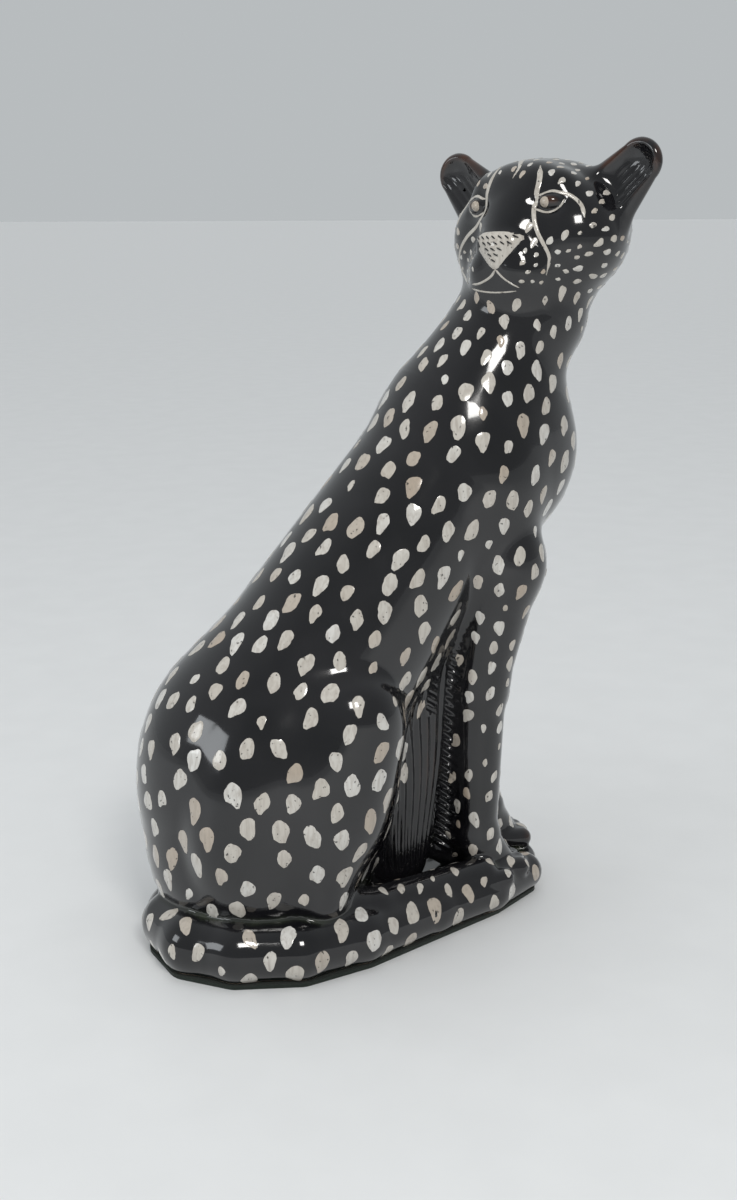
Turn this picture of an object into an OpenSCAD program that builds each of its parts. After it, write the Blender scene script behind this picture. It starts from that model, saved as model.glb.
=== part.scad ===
// TV lamp: a hollow glazed cheetah sitting on a low foot, with the lamp fitting inside it.
// Millimetres. x runs towards the chest, y towards the animal's left, z up.
// The origin lies on the table under the rump. The light leaves by the left flank.

/* [Ceramic body] */
// Wall of the cast body
wall = 6; // [4:0.5:8]
// Height of the low foot the animal sits on
foot_h = 12; // [8:1:16]
// Underside of the floor that carries the lamp fitting
floor_low = 16; // [14:0.5:18]
// Upper side of that floor
floor_top = 21; // [19:0.5:24]
// Turn of the head from straight ahead
head_turn = -149; // [-155:1:-120]
// Width of the light opening in the left flank
window_w = 44; // [40:1:48]
// Middle of the light opening along the body
window_x = 4; // [0:1:8]
// Lower edge of the light opening
window_low = 34; // [30:1:44]
// Crown of the light opening
window_top = 140; // [120:1:142]

/* [Felt] */
// Felt glued under the foot
felt_t = 1.5; // [1:0.25:3]
// Distance from the ceramic edge to the felt edge
felt_inset = 1; // [0.5:0.5:3]

/* [Lamp fitting] */
// Distance from the origin to the bulb axis
lamp_x = 14; // [10:1:20]
// Outside of the threaded pipe
pipe_d = 9.7; // [9.5:0.1:10]
// Bore of the threaded pipe
pipe_bore = 7.5; // [7:0.1:8]
// Height of the cord hole in the foot
cord_hole_z = 7; // [6.5:0.5:8]
// Outside of the rubber grommet barrel
grommet_d = 9; // [8.5:0.5:10]

/* [Bulb] */
// Widest part of the glass
bulb_d = 44.5; // [42:0.5:46]
// Contact to crown
bulb_len = 89; // [80:1:90]
// Crest of the screw thread
thread_d = 25.8; // [25.6:0.1:26]

/* [Cord] */
// Radius of one insulated conductor
wire_r = 1.35; // [1.2:0.05:1.5]
// Length of one fold of the cord
fold_len = 88; // [60:2:90]
// Number of folds, an even number
folds = 10; // [4:2:10]
// Distance between folds
fold_pitch = 11; // [10:1:14]

/* [Switch] */
// Length of the in-line switch
switch_l = 54; // [50:1:60]
// Width of the switch body
switch_w = 24; // [22:1:26]
// Thumb wheel diameter
wheel_d = 22; // [20:1:24]
// Thumb wheel thickness
wheel_t = 4.4; // [4:0.1:5]

/* [Plug] */
// Diameter of the round plug
plug_d = 27; // [25:1:30]
// Blade length outside the plug
blade_out = 16.5; // [15:0.5:18]

/* [Hidden] */
$fn = 48;
glaze = [0.05, 0.05, 0.06];
brass = [0.78, 0.62, 0.32];
steel = [0.70, 0.71, 0.73];
phenolic = [0.16, 0.09, 0.06];
cord_brown = [0.22, 0.13, 0.08];
red_rubber = [0.28, 0.10, 0.08];

// Head frame
head_at = [117.5, -3, 293];
head_tilt = [3, 0, head_turn];

// Tail, from its root round the right side to its tip: [x, y, z, radius]
tail = [[-50, -6, 12.5, 13], [-47, -26, 12.5, 13], [-32, -40, 12.5, 13], [-8, -48, 12.5, 12.5],
        [20, -45, 11.5, 11.5], [58, -33, 10.5, 10.5], [90, -24, 9.5, 9.5], [114, -12, 9, 8.5]];

// Base levels of the fitting
washer_t = 1.2;
nut_t = 3;
pipe_low = floor_low - washer_t - nut_t - 1.3;
cap_z = 28;
rim_z = 38;
body_z = 40;
body_t = 6;
contact_z = body_z + body_t + 2.2;
socket_top = 67;
bulb_top = contact_z + bulb_len;
bulb_c = bulb_top - bulb_d / 2;
base_top = contact_z + 26.5;

// Cord levels and bends
cord_z = wire_r + 0.05;
bend_r = 6;
// a rise or a fall is two equal bends, each a 3-4-5 angle so that its end lands on a round number
drop_a = acos(0.8);
drop_r = (cord_hole_z - cord_z) / 2 / (1 - 0.8);
drop_l = 2 * drop_r * 0.6;
plug_z = plug_d / 2 + 0.05;
plug_drop_a = acos(0.6);
plug_drop_r = (plug_z - cord_z) / 2 / (1 - 0.6);
plug_drop_l = 2 * plug_drop_r * 0.8;
exit_y = 50;
hole_in = 37;
hole_out = 45;
switch_y = exit_y + 2 * drop_l + 10 + switch_l / 2;
turn_r = 12;
fold_y = switch_y + switch_l / 2 + drop_l;
fold_x = lamp_x + 2 * turn_r;
plug_y = fold_y + 15 + turn_r;
plug_x = fold_x + (folds - 1) * fold_pitch - turn_r - plug_drop_l;

// Switch levels, and the cord length each end of the switch grips
switch_grip = 9.4;
switch_mid = cord_hole_z;
switch_top = 2 * switch_mid - 0.3;
wheel_off = 4;
screw_at = [13, -8.5];

// ---------- shared shapes ----------

module ball(p, r) {
    translate(p) sphere(r);
}

module limb(a, ra, b, rb) {
    hull() {
        ball(a, ra);
        ball(b, rb);
    }
}

module egg(c, s, t = [0, 0, 0]) {
    translate(c) rotate(t) scale(s) sphere(1);
}

module tube(ro, ri, z0, z1) {
    translate([0, 0, z0]) difference() {
        cylinder(r = ro, h = z1 - z0);
        translate([0, 0, -1]) cylinder(r = ri, h = z1 - z0 + 2);
    }
}

module nut(flat, ri, z0, z1) {
    translate([0, 0, z0]) difference() {
        cylinder(r = flat / 2 / cos(30), h = z1 - z0, $fn = 6);
        translate([0, 0, -1]) cylinder(r = ri, h = z1 - z0 + 2);
    }
}

module rod(a, b, r) {
    d = b - a;
    l = norm(d);
    translate(a) rotate([0, acos(d[2] / l), atan2(d[1], d[0])]) cylinder(r = r, h = l, $fn = 24);
}

module rounded(l, w, r) {
    square([l - 2 * r, w], center = true);
    square([l, w - 2 * r], center = true);
    for (sx = [-1, 1], sy = [-1, 1]) {
        translate([sx * (l / 2 - r), sy * (w / 2 - r)]) circle(r);
    }
}

module on_axis() {
    translate([lamp_x, 0, 0]) children();
}

// ---------- ceramic body ----------

module body_core(t) {
    hull() {
        egg([-4, 2, 66], [56 - t, 47 - t, 62 - t], $fn = t > 0 ? 24 : 32);
        ball([14, 0, 112], 46 - t, $fn = t > 0 ? 20 : 28);
    }
    hull() {
        ball([0, 0, 92], 46 - t, $fn = t > 0 ? 20 : 28);
        ball([74, 0, 194], 37 - t, $fn = t > 0 ? 20 : 28);
        ball([66, 0, 148], 30 - t, $fn = t > 0 ? 18 : 24);
    }
    hull() {
        egg([98, 0, 202], [37 - t, 31 - t, 41 - t], [0, 22, 0], $fn = t > 0 ? 20 : 26);
        ball([74, 0, 196], 37 - t, $fn = t > 0 ? 20 : 28);
        ball([111, -1, 258], 25.5 - t, $fn = t > 0 ? 18 : 24);
        ball([88, 0, 226], 31 - t, $fn = t > 0 ? 18 : 24);
    }
    limb([111, -1, 258], 25.5 - t, [118, -3, 284], 24 - t, $fn = t > 0 ? 18 : 24);
}

module thigh(s, t) {
    hull() {
        egg([-6, s * 29, 70], [40 - t, 24 - t, 54 - t], [0, 22, 0], $fn = t > 0 ? 18 : 24);
        ball([23, s * 37, 105], 20 - t, $fn = t > 0 ? 16 : 20);
        ball([16, s * 36, 70], 18 - t, $fn = t > 0 ? 16 : 20);
    }
    limb([24, s * 38, 100], 17.5 - t, [3, s * 39, 31], 14.5 - t, $fn = t > 0 ? 12 : 18);
}

module hind_foot(s) {
    toe_y = s < 0 ? -24 : 34;
    limb([4, s * 38, 22], 11, [30, s * 37, 19], 8.5, $fn = 16);
    limb([30, s * 37, 19], 8.5, [86, toe_y, 18], 7.5, $fn = 16);
    for (k = [-1, 0, 1]) {
        limb([80, toe_y + k * 4.5, 17], 5.5, [95, toe_y + k * 5, 16], 4.2, $fn = 10);
    }
}

module foreleg(s) {
    far = s < 0 ? 0 : 16;
    hull() {
        egg([84, s * 15, 198], [24, 22, 32], [0, 24, 0], $fn = 20);
        ball([95, s * 19, 160], 19, $fn = 16);
    }
    limb([95, s * 19, 160], 19, [88, s * 15, 104], 13, $fn = 16);
    limb([88, s * 15, 104], 13, [88 + far, s * 14, 34], 9.5, $fn = 16);
    limb([88 + far, s * 14, 34], 9.5, [93 + far, s * 14, 20], 10.5, $fn = 14);
    for (k = [-1.5, -0.5, 0.5, 1.5]) {
        limb([92 + far, s * 14 + k * 5, 18], 6.5, [107 + far - abs(k), s * 14 + k * 5.5, 17], 4.6, $fn = 10);
    }
}

module tail_run() {
    for (i = [0 : len(tail) - 2]) {
        limb([for (k = [0 : 2]) tail[i][k]], tail[i][3],
             [for (k = [0 : 2]) tail[i + 1][k]], tail[i + 1][3], $fn = 18);
    }
}

module foot_outline(grow) {
    hull() {
        for (k = tail) {
            translate([k[0], k[1]]) circle(k[3] - 2 + grow, $fn = 32);
        }
        translate([-12, 0]) circle(47 + grow, $fn = 48);
        translate([60, 8]) circle(34 + grow, $fn = 48);
        translate([102, 8]) circle(23 + grow, $fn = 48);
    }
}

module pocket_outline(grow) {
    hull() {
        translate([2, 2]) circle(34 + grow, $fn = 48);
        translate([84, 4]) circle(14 + grow, $fn = 32);
    }
}

module foot() {
    translate([0, 0, felt_t]) linear_extrude(foot_h - felt_t - 2) foot_outline(0);
    translate([0, 0, foot_h - 3]) linear_extrude(3) foot_outline(-2.5);
    limb([lamp_x, 34, 9], 8.5, [lamp_x, 39, 9], 8.5, $fn = 24);
}

module ear(s) {
    difference() {
        egg([-4, s * 38, 21], [6.5, 14.5, 14], [s * -35, 0, 0], $fn = 20);
        egg([3, s * 40, 22.5], [7.5, 11, 11.5], [s * -35, 0, 0], $fn = 20);
    }
}

module head() {
    translate(head_at) rotate(head_tilt) {
        difference() {
            union() {
                egg([-7, 0, 4], [30, 36, 27], $fn = 24);
                egg([-2, 0, -6], [29, 34, 21], $fn = 24);
                limb([10, 0, 14], 14, [27, 0, -4], 10, $fn = 20);
                for (s = [-1, 1]) {
                    egg([4, s * 18, 0], [18, 18, 18], $fn = 18);
                    limb([12, s * 8, 19], 7, [12, s * 16, 19], 6, $fn = 14);
                    limb([14, s * 8, -12], 10, [27, s * 6, -13], 9, $fn = 16);
                }
                limb([16, 0, -18], 9.5, [25, 0, -19], 7, $fn = 16);
                limb([33, -6, -2], 2.8, [33, 6, -2], 2.8, $fn = 14);
                limb([34, 0, -3], 2.6, [34.5, 0, -9.5], 2, $fn = 14);
            }
            for (s = [-1, 1]) {
                egg([25.6, s * 16.4, 13], [4.6, 8, 4], [0, 0, s * 32], $fn = 16);
            }
        }
        for (s = [-1, 1]) {
            egg([19.6, s * 15.4, 13], [4.4, 6.6, 3.7], [0, 0, s * 30], $fn = 14);
            ear(s);
        }
    }
}

module web() {
    hull() {
        ball([62, 0, 138], 26, $fn = 20);
        ball([88, 0, 150], 18, $fn = 18);
        ball([44, 0, 24], 22, $fn = 20);
        ball([92, 4, 22], 9, $fn = 14);
    }
}

module window_cut() {
    translate([window_x, 16, 0]) rotate([-90, 0, 0]) linear_extrude(70) {
        translate([-window_w / 2, -(window_top - window_w / 2)])
            square([window_w, window_top - window_w / 2 - window_low]);
        translate([0, -(window_top - window_w / 2)]) circle(window_w / 2, $fn = 40);
    }
}

module hollow() {
    intersection() {
        union() {
            body_core(wall);
            for (s = [-1, 1]) thigh(s, wall);
        }
        translate([-100, -100, floor_top]) cube([300, 200, 400]);
    }
    window_cut();
    translate([0, 0, -1]) linear_extrude(foot_h - 4) pocket_outline(0);
    translate([2, 2, -1]) cylinder(r = 33, h = floor_low + 1);
    translate([lamp_x, 0, 0]) cylinder(r = pipe_d / 2 + 0.5, h = 40, $fn = 32);
    translate([lamp_x, 20, cord_hole_z]) rotate([-90, 0, 0]) cylinder(r = grommet_d / 2 + 0.1, h = 30, $fn = 40);
    translate([lamp_x, hole_out, cord_hole_z]) rotate([-90, 0, 0]) cylinder(r = 7.2, h = 12, $fn = 40);
    translate([lamp_x - 8, 10, 0]) cube([16, hole_in - 10, cord_hole_z + 7]);
}

module ceramic_figure() {
    color(glaze) difference() {
        union() {
            body_core(0);
            for (s = [-1, 1]) {
                thigh(s, 0);
                hind_foot(s);
                foreleg(s);
            }
            web();
            head();
            tail_run();
            foot();
        }
        hollow();
        translate([-200, -200, -50]) cube([400, 400, 50 + felt_t]);
    }
}

module felt_pad() {
    color([0.10, 0.22, 0.14]) linear_extrude(felt_t) difference() {
        foot_outline(-felt_inset);
        pocket_outline(felt_inset);
    }
}

// ---------- lamp fitting ----------

module lamp_pipe() {
    color(brass) on_axis() tube(pipe_d / 2, pipe_bore / 2, pipe_low, cap_z + 7.5);
}

module lower_washer() {
    color(steel) on_axis() tube(11, pipe_d / 2 + 0.2, floor_low - washer_t, floor_low);
}

module lower_locknut() {
    color(brass) on_axis() nut(15, pipe_d / 2, floor_low - washer_t - nut_t, floor_low - washer_t);
}

module cushion_washer() {
    color(red_rubber) on_axis() tube(11, pipe_d / 2 + 0.2, floor_top, floor_top + 1.5);
}

module upper_washer() {
    color(steel) on_axis() tube(10, pipe_d / 2 + 0.2, floor_top + 1.5, floor_top + 1.5 + washer_t);
}

module upper_locknut() {
    color(brass) on_axis() nut(15, pipe_d / 2, floor_top + 1.5 + washer_t, floor_top + 1.5 + washer_t + nut_t);
}

module socket_cap() {
    color(brass) on_axis() difference() {
        rotate_extrude() polygon([[pipe_d / 2, cap_z], [7.4, cap_z], [7.4, cap_z + 4.5], [11, cap_z + 5.2],
            [15.4, cap_z + 7.6], [17.2, rim_z - 0.6], [17.4, rim_z + 1], [17.4, rim_z + 6], [16.7, rim_z + 6],
            [16.7, rim_z + 0.8], [15, rim_z - 1.2], [10.6, cap_z + 6.2], [6.6, cap_z + 5.6], [6.6, cap_z + 8],
            [pipe_d / 2, cap_z + 8]]);
        translate([0, 0, cap_z + 2.4]) rotate([-90, 0, 0]) cylinder(r = 1.55, h = 12, $fn = 24);
    }
}

module cap_set_screw() {
    color(steel) on_axis() translate([0, pipe_d / 2, cap_z + 2.4]) rotate([-90, 0, 0]) difference() {
        union() {
            cylinder(r = 1.5, h = 3.2, $fn = 24);
            translate([0, 0, 3]) cylinder(r = 2, h = 1.6, $fn = 32);
        }
        translate([-3, -0.3, 4]) cube([6, 0.6, 2]);
    }
}

module socket_shell() {
    color(brass) on_axis() rotate_extrude() polygon([[15.9, rim_z + 1.2], [16.6, rim_z + 1.2],
        [16.6, socket_top - 5], [17.1, socket_top - 4], [16.6, socket_top - 3], [16.6, socket_top - 1],
        [17, socket_top - 0.4], [16.7, socket_top], [15.9, socket_top - 0.6]]);
}

module socket_sleeve() {
    color([0.75, 0.68, 0.52]) on_axis() tube(15.7, 15.1, rim_z + 1.4, socket_top - 2);
}

module socket_body() {
    color(phenolic) on_axis() difference() {
        translate([0, 0, body_z]) cylinder(r = 14.9, h = body_t);
        translate([0, 0, body_z - 1]) cylinder(r = 1.6, h = body_t + 2, $fn = 24);
        for (s = [-1, 1]) {
            translate([s * 10, 0, body_z - 1]) cylinder(r = 1.6, h = 5, $fn = 24);
            translate([s * 10, 0, body_z - 1]) cylinder(r = 3.4, h = 2.6, $fn = 32);
        }
    }
}

module screw_shell() {
    color(brass) on_axis() union() {
        rotate_extrude() polygon([[11, body_z + body_t], [13.8, body_z + body_t],
            for (k = [0 : 4]) each [[13.8, body_z + body_t + 2 + k * 3.4], [13.4, body_z + body_t + 3.7 + k * 3.4]],
            [13.8, socket_top - 2], [13.4, socket_top - 2],
            for (k = [4 : -1 : 0]) each [[13.05, body_z + body_t + 3.7 + k * 3.4], [13.4, body_z + body_t + 2 + k * 3.4]],
            [13.4, body_z + body_t + 0.5], [11, body_z + body_t + 0.5]]);
    }
}

module centre_contact() {
    color(brass) on_axis() union() {
        translate([0, 0, body_z + 0.6]) cylinder(r = 1.5, h = body_t - 0.2, $fn = 24);
        translate([-3, -3, body_z + body_t + 0.05]) cube([9, 6, 0.5]);
        translate([5.6, -3, body_z + body_t + 0.3]) rotate([0, -158, 0]) translate([0, 0, -0.45]) cube([3.8, 6, 0.45]);
    }
}

module terminal_screws() {
    for (s = [-1, 1]) {
        color(brass) on_axis() translate([s * 10, 0, body_z]) difference() {
            union() {
                cylinder(r = 1.55, h = 3.6, $fn = 24);
                translate([0, 0, -0.4]) cylinder(r = 3.2, h = 1.9, $fn = 32);
            }
            translate([-4, -0.4, -1]) cube([8, 0.8, 1.3]);
        }
    }
}

// ---------- bulb ----------

module bulb_base() {
    t0 = contact_z + 5;
    color([0.80, 0.72, 0.48]) on_axis() rotate_extrude() polygon([[thread_d / 2 - 1.2, t0], [thread_d / 2 - 0.5, t0],
        for (k = [0 : 4]) each [[thread_d / 2, t0 + 1.7 + k * 3.4], [thread_d / 2 - 0.9, t0 + 3.4 + k * 3.4]],
        [thread_d / 2 - 0.2, t0 + 18], [thread_d / 2 - 0.2, base_top], [thread_d / 2 - 0.6, base_top],
        [thread_d / 2 - 0.6, t0 + 18.4],
        for (k = [4 : -1 : 0]) each [[thread_d / 2 - 1.3, t0 + 3.4 + k * 3.4], [thread_d / 2 - 0.5, t0 + 1.7 + k * 3.4]]]);
}

module bulb_insulator() {
    color([0.06, 0.05, 0.07]) on_axis() rotate_extrude() polygon([[0, contact_z + 1], [4.9, contact_z + 1],
        [5.6, contact_z + 2], [11.6, contact_z + 5], [11.6, contact_z + 6.2], [0, contact_z + 6.2]]);
}

module bulb_contact() {
    color([0.72, 0.72, 0.70]) on_axis() rotate_extrude() polygon([[0, contact_z], [2.6, contact_z + 0.1],
        [4.2, contact_z + 0.5], [4.7, contact_z + 1], [0, contact_z + 1]]);
}

function glass(d) = concat(
    [[11.3 - d, base_top - 5], [12.0 - d, base_top + 1], [12.6 - d, base_top + 8], [13.6 - d, base_top + 16]],
    [for (a = [-44 : 6 : 88]) [(bulb_d / 2 - d) * cos(a), bulb_c + (bulb_d / 2 - d) * sin(a)]],
    [[0, bulb_top - d]]);

module bulb_glass() {
    inner = glass(0.9);
    color([0.95, 0.94, 0.88, 0.6]) on_axis() rotate_extrude() polygon(concat(glass(0),
        [for (k = [len(inner) - 1 : -1 : 0]) inner[k]]));
}

module bulb_stem() {
    color([0.85, 0.88, 0.88, 0.7]) on_axis() difference() {
        rotate_extrude() polygon([[0, base_top - 4], [9.5, base_top - 4], [9.6, base_top - 3], [5, base_top + 3],
            [3.2, base_top + 10], [3.4, base_top + 18], [0, base_top + 18]]);
        for (s = [-1, 1]) translate([s * 2, 0, base_top - 6]) cylinder(r = 0.42, h = 30, $fn = 16);
    }
}

module bulb_filament() {
    top = base_top + 19;
    peak = base_top + 33;
    color(steel) on_axis() union() {
        for (s = [-1, 1]) {
            translate([s * 2, 0, base_top - 3]) cylinder(r = 0.35, h = 22, $fn = 16);
            ball([s * 2, 0, top], 0.45, $fn = 16);
            rod([s * 2, 0, top], [s * 11, 0, peak], 0.35);
            ball([s * 11, 0, peak], 0.45, $fn = 16);
            rod([s * 11, 0, peak], [s * 4, 0, peak + 2.5], 0.3);
            ball([s * 4, 0, peak + 2.5], 0.4, $fn = 16);
        }
        rod([-4, 0, peak + 2.5], [4, 0, peak + 2.5], 0.3);
    }
}

// ---------- cord ----------

module cord_section(c = 0) {
    for (s = [-1, 1]) translate([s * (wire_r - 0.03), 0]) circle(wire_r + c, $fn = 24);
    square([2 * wire_r, 1.5 + 2 * c], center = true);
}

module cord_straight(l) {
    rotate([90, 0, 90]) linear_extrude(l) cord_section();
}

module cord_arc(a, r, upright) {
    difference() {
        rotate_extrude(angle = a < 90 ? 90 : a, $fn = 96) translate([r, 0]) rotate(upright ? 90 : 0) cord_section();
        if (a < 90) rotate([0, 0, a]) translate([0, 0, -10]) cube([2 * r, 2 * r, 20]);
    }
}

// steps: ["s", length], ["l" or "r" or "u" or "d", angle, radius]
module cord_run(steps, i = 0) {
    if (i < len(steps)) {
        k = steps[i][0];
        a = steps[i][1];
        r = steps[i][2];
        if (k == "s") {
            cord_straight(a);
            translate([a, 0, 0]) cord_run(steps, i + 1);
        }
        if (k == "l") {
            translate([0, r, 0]) rotate([0, 0, -90]) cord_arc(a, r, false);
            translate([0, r, 0]) rotate([0, 0, a]) translate([0, -r, 0]) cord_run(steps, i + 1);
        }
        if (k == "r") {
            translate([0, -r, 0]) rotate([0, 0, 90 - a]) cord_arc(a, r, false);
            translate([0, -r, 0]) rotate([0, 0, -a]) translate([0, r, 0]) cord_run(steps, i + 1);
        }
        if (k == "u") {
            translate([0, 0, r]) rotate([90, 0, 0]) rotate([0, 0, -90]) cord_arc(a, r, true);
            translate([0, 0, r]) rotate([0, -a, 0]) translate([0, 0, -r]) cord_run(steps, i + 1);
        }
        if (k == "d") {
            translate([0, 0, -r]) rotate([90, 0, 0]) rotate([0, 0, 90 - a]) cord_arc(a, r, true);
            translate([0, 0, -r]) rotate([0, a, 0]) translate([0, 0, r]) cord_run(steps, i + 1);
        }
    }
}

module lamp_cord() {
    color(cord_brown) translate([lamp_x, 0, cap_z + 8.5]) rotate([0, 90, 90]) cord_run([
        ["s", cap_z + 8.5 - cord_hole_z - bend_r], ["u", 90, bend_r], ["s", exit_y - bend_r],
        ["d", drop_a, drop_r], ["u", drop_a, drop_r], ["s", 10],
        ["u", drop_a, drop_r], ["d", drop_a, drop_r], ["s", switch_grip]]);
}

module plug_cord() {
    lay = [for (k = [0 : folds - 2]) each [["s", fold_len], [k % 2 == 0 ? "l" : "r", 180, fold_pitch / 2]]];
    color(cord_brown) translate([lamp_x, switch_y + switch_l / 2 - switch_grip, cord_hole_z]) rotate([0, 0, 90])
        cord_run(concat([["s", switch_grip], ["d", drop_a, drop_r], ["u", drop_a, drop_r],
            ["r", 90, turn_r], ["r", 90, turn_r]], lay,
            [["s", fold_len + 15], ["l", 90, turn_r],
            ["u", plug_drop_a, plug_drop_r], ["d", plug_drop_a, plug_drop_r], ["s", 12]]));
}

module cord_grommet() {
    color([0.09, 0.09, 0.09]) translate([lamp_x, 0, cord_hole_z]) rotate([-90, 0, 0]) difference() {
        union() {
            translate([0, 0, hole_in - 1.8]) cylinder(r = 5.3, h = 1.75);
            translate([0, 0, hole_in - 1]) cylinder(r = grommet_d / 2, h = hole_out - hole_in + 1.5);
            translate([0, 0, hole_out + 0.05]) cylinder(r = 6.4, h = 2);
        }
        translate([0, 0, hole_in - 5]) linear_extrude(20) cord_section(0.05);
    }
}

// ---------- in-line switch ----------

module at_switch() {
    translate([lamp_x, switch_y, 0]) rotate([0, 0, 90]) children();
}

module switch_half(z0, z1, edge) {
    difference() {
        translate([0, 0, z0]) linear_extrude(z1 - z0) rounded(switch_l, switch_w, 9);
        translate([0, 0, edge]) linear_extrude(1.2, center = true) difference() {
            rounded(switch_l + 4, switch_w + 4, 10);
            rounded(switch_l - 1.6, switch_w - 1.6, 8.2);
        }
        translate([0, wheel_off, switch_mid - wheel_t / 2 - 0.3]) cylinder(r = wheel_d / 2 + 0.6, h = wheel_t + 0.6);
        for (s = [-1, 1]) {
            translate([s * (switch_l / 2 - 6), 0, switch_mid]) rotate([90, 0, 90])
                linear_extrude(13, center = true) cord_section(0.06);
            translate([s * 17 - 2.2, -6, switch_mid - 3]) cube([4.4, 12, 6]);
        }
        translate([0, wheel_off, 1.8]) cylinder(r = 1.5, h = switch_top - 3.6, $fn = 32);
    }
}

module switch_lower() {
    color([0.12, 0.07, 0.05]) at_switch() difference() {
        switch_half(0.1, switch_mid, 0.1);
        for (s = [-1, 1]) translate([s * screw_at[0], screw_at[1], -1]) {
            cylinder(r = 1.35, h = 12, $fn = 24);
            cylinder(r = 2.4, h = 2.9, $fn = 24);
        }
    }
}

module switch_upper() {
    color([0.12, 0.07, 0.05]) at_switch() difference() {
        switch_half(switch_mid, switch_top, switch_top);
        for (s = [-1, 1]) translate([s * screw_at[0], screw_at[1], switch_mid - 1])
            cylinder(r = 1.25, h = 5.2, $fn = 24);
    }
}

module switch_wheel() {
    color([0.80, 0.76, 0.66]) at_switch() translate([0, wheel_off, switch_mid - wheel_t / 2]) difference() {
        cylinder(r = wheel_d / 2, h = wheel_t, $fn = 96);
        translate([0, 0, -1]) cylinder(r = 1.55, h = wheel_t + 2, $fn = 32);
        translate([0, 0, wheel_t - 1]) difference() {
            cylinder(r = 7.6, h = 2);
            translate([0, 0, -1]) cylinder(r = 3.2, h = 4);
        }
        for (k = [0 : 23]) rotate([0, 0, k * 15]) translate([wheel_d / 2 + 0.35, 0, -1])
            cylinder(r = 0.9, h = wheel_t + 2, $fn = 12);
    }
}

module switch_rotor() {
    color(brass) at_switch() translate([0, wheel_off, switch_mid + wheel_t / 2 - 0.98]) difference() {
        cylinder(r = 7.5, h = 0.6);
        translate([0, 0, -1]) cylinder(r = 3.3, h = 3);
        for (s = [-1, 1]) translate([-2, s * 6.5 - 1.5, -1]) cube([4, 3, 3]);
    }
}

module switch_pin() {
    color(steel) at_switch() translate([0, wheel_off, 1.8]) cylinder(r = 1.5, h = switch_top - 3.6, $fn = 32);
}

module switch_contacts() {
    for (s = [-1, 1]) {
        color(brass) at_switch() union() {
            translate([s * 17 - 0.3, -5, switch_mid - 2.6]) cube([0.6, 10, 5.2]);
            translate([min(s * 17, s * 14.9), -5, switch_mid + 2.1]) cube([2.1, 4, 0.5]);
        }
    }
}

module switch_screws() {
    for (s = [-1, 1]) {
        color(steel) at_switch() translate([s * screw_at[0], screw_at[1], 0.5]) difference() {
            union() {
                cylinder(r = 2.3, h = 1.4, $fn = 24);
                cylinder(r = 1.2, h = 9.5, $fn = 24);
            }
            translate([-3, -0.3, -1]) cube([6, 0.6, 1.7]);
        }
    }
}

// ---------- plug ----------

module at_plug() {
    translate([plug_x, plug_y, plug_z]) rotate([0, 0, 180]) children();
}

module plug_body() {
    color([0.10, 0.06, 0.05]) at_plug() difference() {
        rotate([0, 90, 0]) rotate_extrude() polygon([[0, 0], [4.6, 0], [5.4, 1.2], [5.6, 7], [8.4, 9.5],
            [plug_d / 2 - 1.6, 13], [plug_d / 2, 15], [plug_d / 2, 23], [plug_d / 2 - 0.8, 24], [11.4, 24],
            [11.4, 16.5], [0, 16.5]]);
        translate([-1, 0, 0]) rotate([90, 0, 90]) linear_extrude(14) cord_section(0.06);
        translate([11, 0, 0]) rotate([0, 90, 0]) cylinder(r = 4.4, h = 7);
        for (s = [-1, 1]) translate([12.9, s * 6.35 - 0.8, -3.2]) cube([4, 1.6, 6.4]);
    }
}

module plug_blades() {
    for (s = [-1, 1]) {
        color(brass) at_plug() difference() {
            union() {
                translate([13, s * 6.35 - 0.76, -3.175]) cube([11 + blade_out - 1.2, 1.52, 6.35]);
                translate([11 + 13 + blade_out - 1.3, s * 6.35 - 0.76, -2.2]) cube([1.3, 1.52, 4.4]);
            }
            translate([24 + blade_out - 3.5, s * 6.35 - 2, 0]) rotate([-90, 0, 0]) cylinder(r = 1.6, h = 4, $fn = 24);
            translate([18.4, s * 6.35 - 2, 0]) rotate([-90, 0, 0]) cylinder(r = 1.0, h = 4, $fn = 24);
        }
    }
}

module plug_screws() {
    for (s = [-1, 1]) {
        color(steel) at_plug() translate([18.4, s * 6.35 + s * 0.8, 0]) rotate([s * 90, 0, 0]) union() {
            translate([0, 0, -1.6]) cylinder(r = 1.9, h = 1.6, $fn = 24);
            cylinder(r = 0.95, h = 2.6, $fn = 24);
        }
    }
}

module plug_disc() {
    color([0.30, 0.24, 0.20]) at_plug() difference() {
        translate([22.6, 0, 0]) rotate([0, 90, 0]) cylinder(r = 11.2, h = 0.9);
        for (s = [-1, 1]) translate([22, s * 6.35 - 0.86, -3.3]) cube([3, 1.72, 6.6]);
    }
}

ceramic_figure();
felt_pad();
lamp_pipe();
lower_locknut();
lower_washer();
cushion_washer();
upper_washer();
upper_locknut();
socket_cap();
cap_set_screw();
socket_shell();
socket_sleeve();
socket_body();
screw_shell();
centre_contact();
terminal_screws();
bulb_base();
bulb_insulator();
bulb_contact();
bulb_glass();
bulb_stem();
bulb_filament();
cord_grommet();
lamp_cord();
plug_cord();
switch_lower();
switch_upper();
switch_wheel();
switch_rotor();
switch_pin();
switch_contacts();
switch_screws();
plug_body();
plug_disc();
plug_blades();
plug_screws();
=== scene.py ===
"""Looks of the tv lamp: a hollow glazed cheetah with scratched pale spots, and its lamp fitting.

The animal is sculpted as a distance field in millimetres, in the frame of the CAD model, and
meshed here. Its spots and face lines are thin raised patches that follow the same field.
"""
import math

import bpy
import numpy as np
from mathutils import Matrix, Vector


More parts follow.
